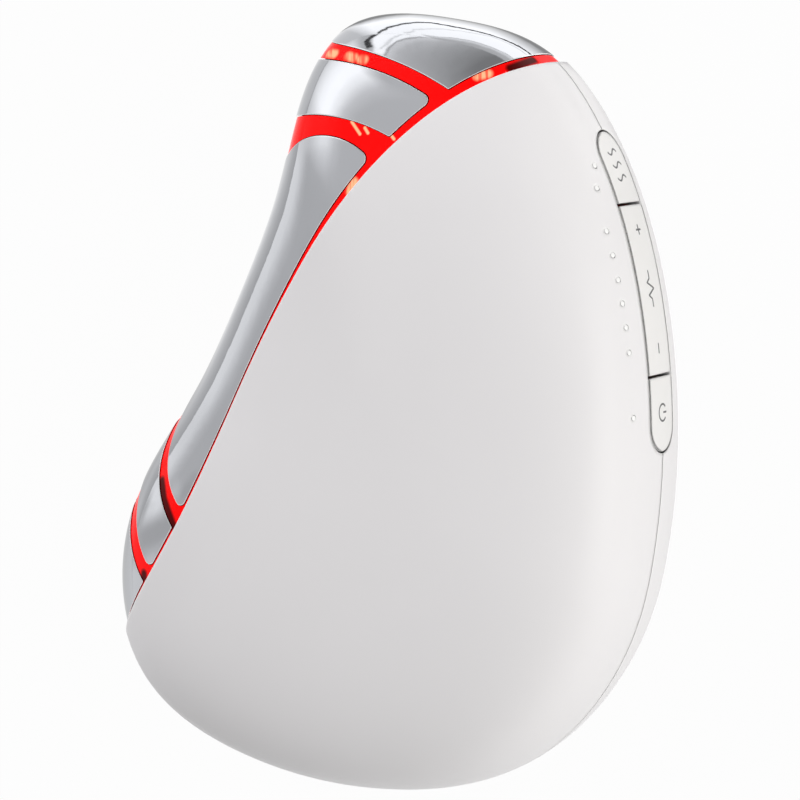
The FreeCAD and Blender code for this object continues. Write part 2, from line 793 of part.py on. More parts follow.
def rectangle(sketch, width, length):
    """A rectangle about the sketch's origin, from formulas of its sides."""
    x = "(%s) / 2" % width
    y = "(%s) / 2" % length
    driven_polygon(sketch, [("-" + x, "-" + y), (x, "-" + y), (x, y), ("-" + x, y)])


def pad(body, sketch, height):
    block = body.newObject("PartDesign::Pad", body.Name + "_pad")
    block.Profile = sketch
    block.setExpression("Length", "sizes." + height)
    doc.recompute()
    return block


def battery():
    """A pouch cell on its foam pad, above the main board."""
    body, sketch = body_on_plane("battery_cell")
    length = "sizes.body_length - sizes.battery_upper_margin - sizes.battery_lower_margin"
    rectangle(sketch, "sizes.battery_width", length)
    block = pad(body, sketch, "battery_height")
    rounds = body.newObject("PartDesign::Fillet", "battery_rounds")
    upright = ["Edge%d" % (i + 1) for i, edge in enumerate(block.Shape.Edges)
               if edge.Length < size["battery_height"] + size["glue_gap"]]
    rounds.Base = (block, upright)
    rounds.setExpression("Radius", "sizes.battery_round")
    bind(body, {"Placement.Base.x": "sizes.battery_centre_x",
                "Placement.Base.y": "(sizes.battery_lower_margin - sizes.battery_upper_margin) / 2",
                "Placement.Base.z": "sizes.board_level + sizes.board_thickness + sizes.pad_thickness"})
    keep(body, "battery_cell")
    foam = doc.addObject("Part::Box", "battery_pad")
    bind(foam, {"Length": "sizes.battery_width - 2 * sizes.pad_margin",
                "Width": length + " - 2 * sizes.pad_margin",
                "Height": "sizes.pad_thickness",
                "Placement.Base.x": "sizes.battery_centre_x - sizes.battery_width / 2 + sizes.pad_margin",
                "Placement.Base.y": "sizes.battery_lower_margin - sizes.body_length / 2 + sizes.pad_margin",
                "Placement.Base.z": "sizes.board_level + sizes.board_thickness"})
    keep(foam, "battery_pad")


def chip(label, width, height, place):
    """A square package with broken edges on the main board."""
    body, sketch = body_on_plane(label)
    rectangle(sketch, "sizes." + width, "sizes." + width)
    block = pad(body, sketch, height)
    top = body.newObject("PartDesign::Chamfer", label + "_edges")
    names = ["Edge%d" % (i + 1) for i, edge in enumerate(block.Shape.Edges)
             if all(vertex.Z > size[height] / 2 for vertex in edge.Vertexes)]
    top.Base = (block, names)
    top.setExpression("Size", "sizes.chip_chamfer")
    body.Placement = Placement(place, Rotation())
    keep(body, label)


def chip_place():
    """Beyond the feet of the battery's leads."""
    leads = size["lead_run"] + size["lead_diameter"]
    return Vector(size["battery_centre_x"],
                  battery_upper + leads + size["component_gap"] + size["chip_width"] / 2, board_top)


def charger_place():
    """Beside the back of the charging socket."""
    aside = size["socket_width"] / 2 + size["charger_width"]
    behind = size["socket_recess"] + size["socket_length"] + size["component_gap"] + size["charger_width"] / 2
    mouth = socket_middle()
    return Vector(mouth.x + aside, mouth.y + behind, board_top)


def inductor():
    """A drum core: two flanges and a waist, turned."""
    body, sketch = body_on_plane("boost_inductor", "XZ_Plane")
    rim = "sizes.inductor_diameter / 2"
    core = "sizes.inductor_core_diameter / 2"
    low = "sizes.inductor_flange"
    high = "sizes.inductor_height - sizes.inductor_flange"
    top = "sizes.inductor_height"
    driven_polygon(sketch, [("0", "0"), (rim, "0"), (rim, low), (core, low), (core, high), (rim, high),
                            (rim, top), ("0", top)])
    turned(body, sketch)
    shift = Vector(-size["chip_width"] / 2,
                   size["chip_width"] / 2 + size["component_gap"] + size["inductor_diameter"] / 2, 0)
    body.Placement = Placement(chip_place() + shift, Rotation())
    keep(body, "boost_inductor")


def turned(body, sketch):
    """A full revolution about the sketch's upright axis."""
    turn = body.newObject("PartDesign::Revolution", body.Name + "_turn")
    turn.Profile = sketch
    turn.ReferenceAxis = (sketch, ["V_Axis"])
    turn.Angle = 360
    doc.recompute()
    return turn


def capacitors():
    """Three upright cans in a row."""
    cans = []
    row = battery_lower - size["component_gap"] - size["capacitor_diameter"] / 2
    for i in (1, 2, 3):
        base = Vector(size["battery_centre_x"] + i * size["capacitor_pitch"], row, board_top)
        cans.append(Part.makeCylinder(size["capacitor_diameter"] / 2, size["capacitor_height"], base))
    feature("smoothing_capacitors", Part.makeCompound(cans))


def board_screws():
    """One turned screw with a square socket, repeated at the four bosses."""
    body, sketch = body_on_plane("board_screw", "XZ_Plane")
    shank = "sizes.screw_diameter / 2"
    head = "sizes.screw_head_diameter / 2"
    tip = "-sizes.screw_length + sizes.screw_clearance"
    top = "sizes.screw_head_height"
    driven_polygon(sketch, [("0", tip), (shank, tip), (shank, "0"), (head, "0"), (head, top), ("0", top)])
    turned(body, sketch)
    screw = body.Shape
    side = size["screw_socket"]
    floor = size["screw_head_height"] - size["screw_socket_depth"]
    corner = Vector(-side / 2, -side / 2, floor)
    screw = screw.cut(Part.makeBox(side, side, size["screw_head_height"], corner))
    placed = []
    for place in screw_places():
        copy = screw.copy()
        copy.translate(place + UP * board_top)
        placed.append(copy)
    feature("board_screws", Part.makeCompound(placed))


def usb_socket():
    """A charging socket: a thin can with a round-ended mouth, a back wall and a contact blade."""
    start = socket_middle() + Vector(0, size["socket_recess"], 0)
    can = slot_solid(size["socket_width"], size["socket_height"], start, size["socket_length"])
    wall = 2 * size["socket_wall"]
    mouth = slot_solid(size["socket_width"] - wall, size["socket_height"] - wall,
                       start - Vector(0, overrun, 0),
                       size["socket_length"] - size["socket_back"] + overrun)
    feature("usb_socket", can.cut(mouth))
    blade_start = start + Vector(-size["blade_width"] / 2, size["socket_wall"], -size["blade_height"] / 2)
    reach = size["socket_length"] - size["socket_back"] - size["socket_wall"]
    blade = Part.makeBox(size["blade_width"], reach, size["blade_height"], blade_start)
    feature("usb_contact_blade", blade)


def battery_leads():
    """Two leads from the cell's upper end down to the main board, each bent once."""
    leads = []
    bend = size["lead_bend"]
    for side in (-1, 1):
        start = Vector(size["battery_centre_x"] + side * size["lead_spacing"] / 2,
                       battery_upper, board_top + size["lead_rise"])
        corner = start + Vector(0, size["lead_run"], 0)
        foot = Vector(corner.x, corner.y, board_top)
        into = corner - Vector(0, bend, 0)
        out = corner - UP * bend
        turn = 1 - math.sqrt(0.5)
        middle = corner + Vector(0, -bend * turn, -bend * turn)
        path = Part.Wire([Part.makeLine(start, into), Part.Arc(into, middle, out).toShape(),
                          Part.makeLine(out, foot)])
        ring = Part.Wire([Part.makeCircle(size["lead_diameter"] / 2, start, Vector(0, 1, 0))])
        leads.append(path.makePipeShell([ring], True, False))
    feature("battery_leads", Part.makeCompound(leads))


def glow_board():
    """The board behind the light guide, its row of red lights and the ribbon to the main board."""
    board = doc.addObject("Part::Box", "glow_board")
    bind(board, {"Length": "sizes.glow_board_thickness", "Width": "sizes.glow_board_length",
                 "Height": "sizes.glow_board_height",
                 "Placement.Base.x": "-sizes.glow_board_margin - sizes.glow_board_thickness",
                 "Placement.Base.y": "sizes.glow_board_centre - sizes.glow_board_length / 2",
                 "Placement.Base.z": "sizes.rear_height - sizes.glow_board_height / 2"})
    keep(board, "glow_board")
    count = int(size["red_led_count"])
    clear = size["glow_board_length"] - 4 * size["rib_thickness"]
    pitch = clear / count
    first = size["glow_board_centre"] + (pitch - clear - size["red_led_length"]) / 2
    lights = []
    for i in range(count):
        corner = Vector(-size["glow_board_margin"] - size["glow_board_thickness"] - size["red_led_height"],
                        first + i * pitch, parting - size["red_led_width"] / 2)
        lights.append(Part.makeBox(size["red_led_height"], size["red_led_length"],
                                   size["red_led_width"], corner))
    feature("red_leds", Part.makeCompound(lights))
    low = Vector(-size["glow_board_margin"], size["glow_board_centre"] - size["ribbon_width"] / 2, board_top)
    thin = size["ribbon_thickness"]
    rise = parting - size["ribbon_level"] - board_top
    reach = size["glow_board_margin"] - size["board_left"] + size["ribbon_foot"]
    corners = ((0, 0), (reach, 0), (reach, thin), (thin, thin), (thin, rise), (0, rise), (0, 0))
    profile = [low + Vector(x, 0, z) for x, z in corners]
    strip = Part.Face(Part.makePolygon(profile)).extrude(Vector(0, size["ribbon_width"], 0))
    feature("link_ribbon", strip)


head_plates()
light_guide()
head_inside()
front_shell()
rear_shell()
keys()
key_electronics()
main_board()
battery()
chip("controller_chip", "chip_width", "chip_height", chip_place())
chip("charger_chip", "charger_width", "charger_height", charger_place())
inductor()
capacitors()
board_screws()
usb_socket()
battery_leads()
glow_board()

doc.recompute()
for obj in doc.Objects:
    if {"Invalid", "Error"} & set(obj.State):
        raise RuntimeError("failed: " + obj.Label)
os.makedirs("parts", exist_ok=True)
for obj in kept:
    if obj.Shape.isNull() or not obj.Shape.isValid():
        raise RuntimeError("no sound shape: " + obj.Label)
    obj.Shape.exportStep("parts/%s.step" % obj.Label)
    print(obj.Label, len(obj.Shape.Solids), round(obj.Shape.Volume, 2))
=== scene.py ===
import math

import bpy
from mathutils import Matrix, Vector


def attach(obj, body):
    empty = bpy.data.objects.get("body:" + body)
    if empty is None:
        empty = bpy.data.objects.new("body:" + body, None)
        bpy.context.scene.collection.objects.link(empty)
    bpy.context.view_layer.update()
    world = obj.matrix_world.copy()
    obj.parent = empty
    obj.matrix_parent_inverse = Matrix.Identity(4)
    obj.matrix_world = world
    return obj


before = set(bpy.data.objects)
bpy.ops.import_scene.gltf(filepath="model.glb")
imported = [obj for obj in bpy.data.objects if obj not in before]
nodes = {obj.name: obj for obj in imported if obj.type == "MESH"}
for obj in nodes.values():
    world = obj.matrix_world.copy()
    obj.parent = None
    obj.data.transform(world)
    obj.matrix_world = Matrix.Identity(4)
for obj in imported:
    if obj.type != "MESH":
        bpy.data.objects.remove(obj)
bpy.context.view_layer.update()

MM = 0.001
UP = Vector((0, 0, 1))

# Steps, lines through stops, and meshes


def steps(limits, count):
    """Even steps between two limits."""
    low, high = limits
    return [low + (high - low) * i / count for i in range(count + 1)]


def growing_steps(limits, count):
    """Steps that grow alike between two limits."""
    low, high = limits
    return [low * (high / low) ** (i / count) for i in range(count + 1)]


def between(stops, value):
    """The height of a line through stops."""
    for (left, low), (right, high) in zip(stops, stops[1:]):
        if value <= right:
            return low + (high - low) * max(0.0, value - left) / (right - left)
    return stops[-1][1]


def round_about(reach, bearing):
    """A level offset by its length and its bearing, in degrees from +X."""
    turn = math.radians(bearing)
    return Vector((reach * math.cos(turn), reach * math.sin(turn), 0))


def ring_faces(first, rings, sides):
    """The faces of a closed form made of rings of vertices, with a lid at each end."""
    faces = []
    for ring in range(rings - 1):
        here = first + ring * sides
        for side in range(sides):
            after = (side + 1) % sides
            faces.append((here + side, here + after, here + sides + after, here + sides + side))
    last = first + (rings - 1) * sides
    faces.append(tuple(range(first + sides - 1, first - 1, -1)))
    faces.append(tuple(range(last, last + sides)))
    return faces


def add_mesh(name, vertices, faces, material):
    mesh = bpy.data.meshes.new(name)
    mesh.from_pydata(vertices, [], faces)
    mesh.materials.append(material)
    piece = bpy.data.objects.new(name, mesh)
    bpy.context.collection.objects.link(piece)
    return piece


# Camera, at the photograph's viewing angle

CAMERA_RIGHT = Vector((0.8193, 0.3279, -0.4703))
CAMERA_UP = Vector((-0.4212, 0.9008, -0.1058))
CAMERA_BACK = Vector((0.3890, 0.2848, 0.8761))
CAMERA_TARGET = Vector((-5.72, 1.79, 15.5)) * MM
CAMERA_DISTANCE = 432.4 * MM
CAMERA_PLACE = CAMERA_TARGET + CAMERA_BACK * CAMERA_DISTANCE
FOCAL_PIXELS = 3324
IMAGE_PIXELS = 800
SENSOR = 36.0
CLIP_RANGE = (0.01, 20)


def turned(right, up, back):
    """The rotation whose axes point right, up and back."""
    return Matrix((right, up, back)).transposed().to_4x4()


def add_camera():
    data = bpy.data.cameras.new("camera")
    data.sensor_fit = "HORIZONTAL"
    data.sensor_width = SENSOR
    data.lens = SENSOR * FOCAL_PIXELS / IMAGE_PIXELS
    data.clip_start, data.clip_end = CLIP_RANGE
    camera = bpy.data.objects.new("camera", data)
    bpy.context.collection.objects.link(camera)
    camera.matrix_world = Matrix.Translation(CAMERA_PLACE) @ turned(CAMERA_RIGHT, CAMERA_UP, CAMERA_BACK)
    bpy.context.scene.camera = camera


def camera_ray(pixel):
    """The camera's place and its view through a pixel."""
    across = (pixel[0] - IMAGE_PIXELS / 2) / FOCAL_PIXELS
    down = (pixel[1] - IMAGE_PIXELS / 2) / FOCAL_PIXELS
    return CAMERA_PLACE, (CAMERA_RIGHT * across - CAMERA_UP * down - CAMERA_BACK).normalized()


# Shader nodes. A band holds the two values between which an effect sets in

SHADE_SAMPLES = 6
BUMP_DEPTH = 0.05 * MM
NOISE_DETAIL = 3.0
DRIFT_BAND = (0.35, 0.65)
EDGE_BAND = (0.75, 0.995)
GAP_BAND = (0.2, 0.6)
GAP_REACH = 0.6 * MM
# A mix node's factor, two colours and result among its sockets, whose names repeat
MIX_INPUTS = (0, 6, 7)
MIX_OUTPUT = 2


def new_material(name):
    """A material, its tree and its shader."""
    material = bpy.data.materials.new(name)
    material.use_nodes = True
    tree = material.node_tree
    return material, tree, tree.nodes["Principled BSDF"]


def reckon(tree, operation, first, second):
    """One operation on two sockets, or on a socket and a number."""
    node = tree.nodes.new("ShaderNodeMath")
    node.operation = operation
    tree.links.new(first, node.inputs[0])
    if isinstance(second, (int, float)):
        node.inputs[1].default_value = second
    else:
        tree.links.new(second, node.inputs[1])
    return node.outputs[0]


def reckon_vectors(tree, operation, first, second):
    """One operation on two sockets, or on a socket and a vector: the node's outputs."""
    node = tree.nodes.new("ShaderNodeVectorMath")
    node.operation = operation
    tree.links.new(first, node.inputs[0])
    if isinstance(second, Vector):
        node.inputs[1].default_value = second
    else:
        tree.links.new(second, node.inputs[1])
    return node.outputs


def stretch(tree, value, band, levels=(0.0, 1.0)):
    """Leads a value within a band smoothly from one level to another."""
    node = tree.nodes.new("ShaderNodeMapRange")
    node.interpolation_type = "SMOOTHSTEP"
    for socket, given in zip(("From Min", "From Max", "To Min", "To Max"), band + levels):
        node.inputs[socket].default_value = given
    tree.links.new(value, node.inputs["Value"])
    return node.outputs["Result"]


def blend_colour(tree, factor, first, second):
    """Leads from one colour, given or linked, to another."""
    node = tree.nodes.new("ShaderNodeMix")
    node.data_type = "RGBA"
    for place, given in zip(MIX_INPUTS, (factor, first, second)):
        if isinstance(given, tuple):
            node.inputs[place].default_value = (*given, 1)
        else:
            tree.links.new(given, node.inputs[place])
    return node.outputs[MIX_OUTPUT]


def blend_shaders(tree, factor, first, second, out):
    """Leads from one shader to another, and the result to the output."""
    node = tree.nodes.new("ShaderNodeMixShader")
    tree.links.new(factor, node.inputs["Fac"])
    tree.links.new(first.outputs[0], node.inputs[1])
    tree.links.new(second.outputs[0], node.inputs[2])
    tree.links.new(node.outputs[0], out.inputs["Surface"])


def own_place(tree):
    """The piece's own coordinates."""
    return tree.nodes.new("ShaderNodeTexCoord").outputs["Object"]


def noise(tree, place, scale, detail=NOISE_DETAIL):
    texture = tree.nodes.new("ShaderNodeTexNoise")
    texture.inputs["Scale"].default_value = scale
    texture.inputs["Detail"].default_value = detail
    tree.links.new(place, texture.inputs["Vector"])
    return texture.outputs["Fac"]


def drift(tree, scale, colours):
    """A slow drift between two near colours."""
    return blend_colour(tree, stretch(tree, noise(tree, own_place(tree), scale), DRIFT_BAND), *colours)


def face_normal(tree):
    return tree.nodes.new("ShaderNodeNewGeometry").outputs["Normal"]


def rounded_normal(tree, radius):
    """The surface's direction, with its edges broken by a round."""
    rounding = tree.nodes.new("ShaderNodeBevel")
    rounding.samples = SHADE_SAMPLES
    rounding.inputs["Radius"].default_value = radius
    return rounding.outputs["Normal"]


def edge_share(tree, radius):
    """1 on a broken edge, 0 on a face."""
    product = reckon_vectors(tree, "DOT_PRODUCT", rounded_normal(tree, radius), face_normal(tree))
    return stretch(tree, product["Value"], EDGE_BAND, (1.0, 0.0))


def edge_rise(tree, radius):
    """How far a broken edge's direction departs from its face's, upwards."""
    change = reckon_vectors(tree, "SUBTRACT", rounded_normal(tree, radius), face_normal(tree))
    return reckon_vectors(tree, "DOT_PRODUCT", change["Vector"], UP)["Value"]


def openness(tree, reach, band):
    """0 deep in a gap, 1 on an open face."""
    shade = tree.nodes.new("ShaderNodeAmbientOcclusion")
    shade.samples = SHADE_SAMPLES
    shade.inputs["Distance"].default_value = reach
    return stretch(tree, shade.outputs["AO"], band)


def add_bump(tree, shader, grain, edge=0.0):
    """A fine grain of the surface, by its scale and strength, and broken edges where a round is given."""
    scale, strength = grain
    bump = tree.nodes.new("ShaderNodeBump")
    bump.inputs["Strength"].default_value = strength
    bump.inputs["Distance"].default_value = BUMP_DEPTH
    tree.links.new(noise(tree, own_place(tree), scale), bump.inputs["Height"])
    if edge:
        tree.links.new(rounded_normal(tree, edge), bump.inputs["Normal"])
    tree.links.new(bump.outputs["Normal"], shader.inputs["Normal"])


# White plastic and chrome

# Painted shade: the near black laid into gaps and along the keys' front edges
PAINTED_SHADE_BLACK = (0.02, 0.02, 0.02)
PLASTIC_DRIFT = 40.0
PLASTIC_ROUGHNESS = 0.38
PLASTIC_GRAIN = (2500.0, 0.04)
SHELL_WHITES = ((0.775, 0.762, 0.775), (0.785, 0.772, 0.785))
# Painted highlight: the white laid along the shell's lip
LIP_HIGHLIGHT_WHITE = (0.97, 0.965, 0.965)
LIP_ROUND = 0.8 * MM
SHELL_COAT = 0.15
SHELL_COAT_ROUGHNESS = 0.2
KEY_WHITES = ((0.785, 0.775, 0.770), (0.795, 0.785, 0.780))
KEY_ROUND = 0.65 * MM
# Where painted shade sets in along the keys' front edges
KEY_EDGE_SHADE_BAND = (0.03, 0.12)
CHROME_GREYS = ((0.410, 0.418, 0.440), (0.425, 0.433, 0.455))
# Painted highlight: the white laid on the plates' rolled edges
CHROME_EDGE_HIGHLIGHT = (0.97, 0.97, 0.97)
CHROME_DRIFT = 60.0
CHROME_ROUGHNESS = 0.06
CHROME_GRAIN = (300.0, 0.005)
PLATE_ROUND = 0.2 * MM


def shell_plastic():
    """Satin white moulding, with a painted highlight on its lip and painted shade in its gaps."""
    material, tree, shader = new_material("white_shell_satin")
    body = drift(tree, PLASTIC_DRIFT, SHELL_WHITES)
    # Painted highlight on the lip, then painted shade in the gaps
    lip_highlighted = blend_colour(tree, edge_share(tree, LIP_ROUND), body, LIP_HIGHLIGHT_WHITE)
    shaded = blend_colour(tree, openness(tree, GAP_REACH, GAP_BAND), PAINTED_SHADE_BLACK, lip_highlighted)
    tree.links.new(shaded, shader.inputs["Base Color"])
    shader.inputs["Roughness"].default_value = PLASTIC_ROUGHNESS
    shader.inputs["Coat Weight"].default_value = SHELL_COAT
    shader.inputs["Coat Roughness"].default_value = SHELL_COAT_ROUGHNESS
    add_bump(tree, shader, PLASTIC_GRAIN, LIP_ROUND)
    return material


def key_plastic():
    """The shell's white, with painted shade along the keys' front edges and in their gaps."""
    material, tree, shader = new_material("white_key_satin")
    body = drift(tree, PLASTIC_DRIFT, KEY_WHITES)
    # Painted shade along the keys' front edges, then painted shade in the gaps
    front = stretch(tree, edge_rise(tree, KEY_ROUND), KEY_EDGE_SHADE_BAND)
    edge_shaded = blend_colour(tree, front, body, PAINTED_SHADE_BLACK)
    shaded = blend_colour(tree, openness(tree, GAP_REACH, GAP_BAND), PAINTED_SHADE_BLACK, edge_shaded)
    tree.links.new(shaded, shader.inputs["Base Color"])
    shader.inputs["Roughness"].default_value = PLASTIC_ROUGHNESS
    add_bump(tree, shader, PLASTIC_GRAIN, KEY_ROUND)
    return material


def chrome():
    """Satin chrome plating, with a painted highlight on its rolled edges."""
    material, tree, shader = new_material("chrome_plating")
    body = drift(tree, CHROME_DRIFT, CHROME_GREYS)
    # Painted highlight on the rolled edges
    edge_highlighted = blend_colour(tree, edge_share(tree, PLATE_ROUND), body, CHROME_EDGE_HIGHLIGHT)
    tree.links.new(edge_highlighted, shader.inputs["Base Color"])
    shader.inputs["Metallic"].default_value = 1.0
    shader.inputs["Roughness"].default_value = CHROME_ROUGHNESS
    add_bump(tree, shader, CHROME_GRAIN, PLATE_ROUND)
    return material


# Red guide. Its lines are in pixels of the photograph: broad painted glints, fine painted glints and painted
# dark reflections

GLINT_LINES = (((329, 53), (335, 54)), ((348, 56), (354, 58)), ((361, 59), (364, 60)), ((478, 76), (488, 74)),
              ((350, 192), (354, 182)))
FINE_GLINT_LINES = (((352, 122), (360, 134)), ((365, 128), (368, 133)), ((391, 135), (394, 139)))
DARK_REFLECTION_LINES = (((511, 68), (533, 60)), ((162, 481), (164, 499), (168, 511), (173, 525)),
              ((144, 574), (144, 577)))
PIXEL_STEP = 1.5
GLINT_REACH = 0.9 * MM
FINE_GLINT_REACH = 0.3 * MM
DARK_REFLECTION_REACH = 1.05 * MM
FULL_SHARE = 0.3
DARK_REFLECTION_SHARE = 0.95
# The reach and band of the painted shade in the guide's hollow
HOLLOW_REACH = 40 * MM
HOLLOW_BAND = (0.1, 0.3)
RED = (1.0, 0.0015, 0.0015)
# The colour of the painted glints
GLINT_CREAM = (1.6, 0.75, 0.40)
BODY_RED = (0.45, 0.001, 0.001)
# Painted shade: the dark red of the painted dark reflections, the gaps and the hollow
PAINTED_DARK_RED = (0.012, 0.0, 0.0)
STREAKS_ALONG = 2200.0
STREAKS_ACROSS = 160.0
STREAK_SCALE = 1.0
STREAK_DETAIL = 1.0
STREAK_BAND = (0.38, 0.60)
STREAK_LEVELS = (0.25, 0.95)
GUIDE_ROUGHNESS = 0.15
GUIDE_SPECULAR = 0.05
GUIDE_GLOW = 0.78
GUIDE_GRAIN = (500.0, 0.1)


def dotted(lines):
    """Pixels close together along lines."""
    pixels = []
    for line in lines:
        for start, end in zip(line, line[1:]):
            count = math.ceil(math.dist(start, end) / PIXEL_STEP)
            pixels += [Vector(start).lerp(Vector(end), share) for share in steps((0, 1), count)]
    return pixels


def nearness(tree, lines, reach):
    """1 on the guide near where the lines' pixels show it, 0 beyond the reach."""
    place = own_place(tree)
    total = None
    for pixel in dotted(lines):
        found, point, normal, face = nodes["light_guide"].ray_cast(*camera_ray(pixel))
        if not found:
            continue
        gap = reckon_vectors(tree, "DISTANCE", place, point)["Value"]
        near = stretch(tree, gap, (FULL_SHARE * reach, reach), (1.0, 0.0))
        total = reckon(tree, "MAXIMUM", near, total) if total else near
    return total


def streaks(tree):
    """Noise drawn out across the bands, which breaks the painted glints into streaks."""
    place = own_place(tree)
    flat = tree.nodes.new("ShaderNodeCombineXYZ")
    for socket, axis in (("X", CAMERA_RIGHT * STREAKS_ALONG), ("Y", CAMERA_UP * STREAKS_ACROSS)):
        tree.links.new(reckon_vectors(tree, "DOT_PRODUCT", place, axis)["Value"], flat.inputs[socket])
    drawn_out = noise(tree, flat.outputs["Vector"], STREAK_SCALE, STREAK_DETAIL)
    return stretch(tree, drawn_out, STREAK_BAND, STREAK_LEVELS)


def red_guide():
    """Clear red moulding, lit from behind, with painted glints and painted dark reflections near listed
    pixels, and painted shade in its gaps and its hollow.
    """
    material, tree, shader = new_material("glowing_red")
    # Painted glints near the listed pixels, drawn into streaks
    bright = reckon(tree, "MULTIPLY", nearness(tree, GLINT_LINES, GLINT_REACH), streaks(tree))
    bright = reckon(tree, "MAXIMUM", bright, nearness(tree, FINE_GLINT_LINES, FINE_GLINT_REACH))
    # Painted dark reflections near the listed pixels, in the glow and in the base colour
    dim = reckon(tree, "MULTIPLY", nearness(tree, DARK_REFLECTION_LINES, DARK_REFLECTION_REACH), DARK_REFLECTION_SHARE)
    glow = blend_colour(tree, bright, RED, GLINT_CREAM)
    glow = blend_colour(tree, dim, glow, PAINTED_DARK_RED)
    # Painted shade in the gaps, then in the hollow
    glow = blend_colour(tree, openness(tree, GAP_REACH, GAP_BAND), PAINTED_DARK_RED, glow)
    glow = blend_colour(tree, openness(tree, HOLLOW_REACH, HOLLOW_BAND), PAINTED_DARK_RED, glow)
    tree.links.new(glow, shader.inputs["Emission Color"])
    tree.links.new(blend_colour(tree, dim, BODY_RED, PAINTED_DARK_RED), shader.inputs["Base Color"])
    shader.inputs["Emission Strength"].default_value = GUIDE_GLOW
    shader.inputs["Roughness"].default_value = GUIDE_ROUGHNESS
    shader.inputs["Specular IOR Level"].default_value = GUIDE_SPECULAR
    add_bump(tree, shader, GUIDE_GRAIN)
    return material


# Plain finishes, each with two near colours and a roughness, and the slots that wear them

FINISH_DRIFT = 60.0
FINISH_GRAIN = (900.0, 0.15)
FOAM_GRAIN = (3000.0, 0.5)
PRINT_GRAIN = (4000.0, 0.1)
MILKY_WHITES = ((0.88, 0.88, 0.88), (0.92, 0.92, 0.92))


def finish(name, low, high, roughness, metallic=0.0, grain=FINISH_GRAIN):
    material, tree, shader = new_material(name)
    tree.links.new(drift(tree, FINISH_DRIFT, (low, high)), shader.inputs["Base Color"])
    shader.inputs["Roughness"].default_value = roughness
    shader.inputs["Metallic"].default_value = metallic
    add_bump(tree, shader, grain)
    return material


FINISHES = {
    "white_shell": shell_plastic(),
    "key_white": key_plastic(),
    "chrome_plate": chrome(),
    "red_guide": red_guide(),
    "light_bar": finish("milky_bar", *MILKY_WHITES, 0.4),
    "circuit_board": finish("green_board", (0.015, 0.13, 0.05), (0.02, 0.17, 0.07), 0.4),
    "black_package": finish("black_moulding", (0.015, 0.015, 0.015), (0.025, 0.025, 0.025), 0.5),
    "cream_package": finish("cream_moulding", (0.76, 0.70, 0.50), (0.80, 0.75, 0.58), 0.5),
    "ferrite": finish("grey_ferrite", (0.07, 0.07, 0.08), (0.10, 0.10, 0.11), 0.6),
    "aluminium_can": finish("drawn_aluminium", (0.72, 0.72, 0.73), (0.78, 0.78, 0.79), 0.3, metallic=1.0),
    "steel": finish("bright_steel", (0.57, 0.57, 0.58), (0.62, 0.62, 0.63), 0.25, metallic=1.0),
    "brass_contact": finish("gilt_brass", (0.78, 0.55, 0.22), (0.82, 0.60, 0.26), 0.25, metallic=1.0),
    "cell_foil": finish("silver_foil", (0.52, 0.53, 0.55), (0.58, 0.59, 0.61), 0.35, metallic=0.9),
    "foam": finish("grey_foam", (0.13, 0.13, 0.14), (0.19, 0.19, 0.20), 0.9, grain=FOAM_GRAIN),
    "amber_film": finish("amber_film", (0.50, 0.18, 0.02), (0.60, 0.23, 0.03), 0.3),
    "lead_sleeve": finish("red_sleeve", (0.42, 0.02, 0.02), (0.48, 0.03, 0.02), 0.45),
    "ribbon_sleeve": finish("white_sleeve", (0.67, 0.67, 0.65), (0.72, 0.72, 0.70), 0.5),
}
SIGN_GREY = finish("grey_print", (0.10, 0.10, 0.105), (0.13, 0.13, 0.135), 0.5, grain=PRINT_GRAIN)


def dress_nodes():
    """Gives each solid of the frame the finish of its slot."""
    for node in nodes.values():
        for place, held in enumerate(node.data.materials):
            node.data.materials[place] = FINISHES[held.name.split(".")[0]]


# Key strip

STRIP_ORIGIN = Vector((21.256, 29.829, 15.5)) * MM
STRIP_ALONG = Vector((0.543659, -0.839306, 0))
STRIP_OUT = Vector((0.839306, 0.543659, 0))
CAST_START = 10 * MM


def on_face(node, along, level, lift=0.0):
    """The point of a piece's face over a place of the strip."""
    start = STRIP_ORIGIN + STRIP_ALONG * along + UP * level + STRIP_OUT * CAST_START
    found, point, normal, face = node.ray_cast(start, -STRIP_OUT)
    return point + STRIP_OUT * lift


# Signs printed on the keys. Their lines are in millimetres, along the strip and up its level

SIGN_STROKE = 0.24 * MM
SIGN_PROUD = 0.012 * MM
SIGN_DEPTH = 0.05 * MM
SIGN_STEP = 0.12 * MM
# A stroke's section: sides of the line, and heights over the key's face
STROKE_SECTION = ((1, SIGN_PROUD), (-1, SIGN_PROUD), (-1, -SIGN_DEPTH), (1, -SIGN_DEPTH))

HEAT_PLACE = -15.9
HEAT_WAVES = (-1.7, 0.0, 1.7)
HEAT_HALF = 1.25
HEAT_SWING = 0.36
WAVE_STEPS = 24
LEVEL_PLACE = 7.5
LEVEL_HALF = 0.65
PULSE_POINTS = ((-2.3, 0.0), (-1.3, 0.0), (-0.8, 0.8), (0.0, -0.9), (0.8, 0.8), (1.3, 0.0), (2.3, 0.0))
POWER_PLACE = 15.5
POWER_RADIUS = 1.05
POWER_GAP = math.radians(38)
POWER_BAR_SHARES = (-0.2, -1.1)
RING_STEPS = 40


def heat_lines():
    """Three rising waves."""
    waves = []
    for shift in HEAT_WAVES:
        middle = HEAT_PLACE + shift
        waves.append([(middle + HEAT_SWING * math.sin(2 * math.pi * share), HEAT_HALF * (1 - 2 * share))
                      for share in steps((0, 1), WAVE_STEPS)])
    return waves


def level_lines():
    """A plus at one end of the rocker, a minus at the other, and a pulse between."""
    plus = -LEVEL_PLACE
    minus = LEVEL_PLACE
    return [[(plus - LEVEL_HALF, 0), (plus + LEVEL_HALF, 0)], [(plus, -LEVEL_HALF), (plus, LEVEL_HALF)],
            PULSE_POINTS, [(minus - LEVEL_HALF, 0), (minus + LEVEL_HALF, 0)]]


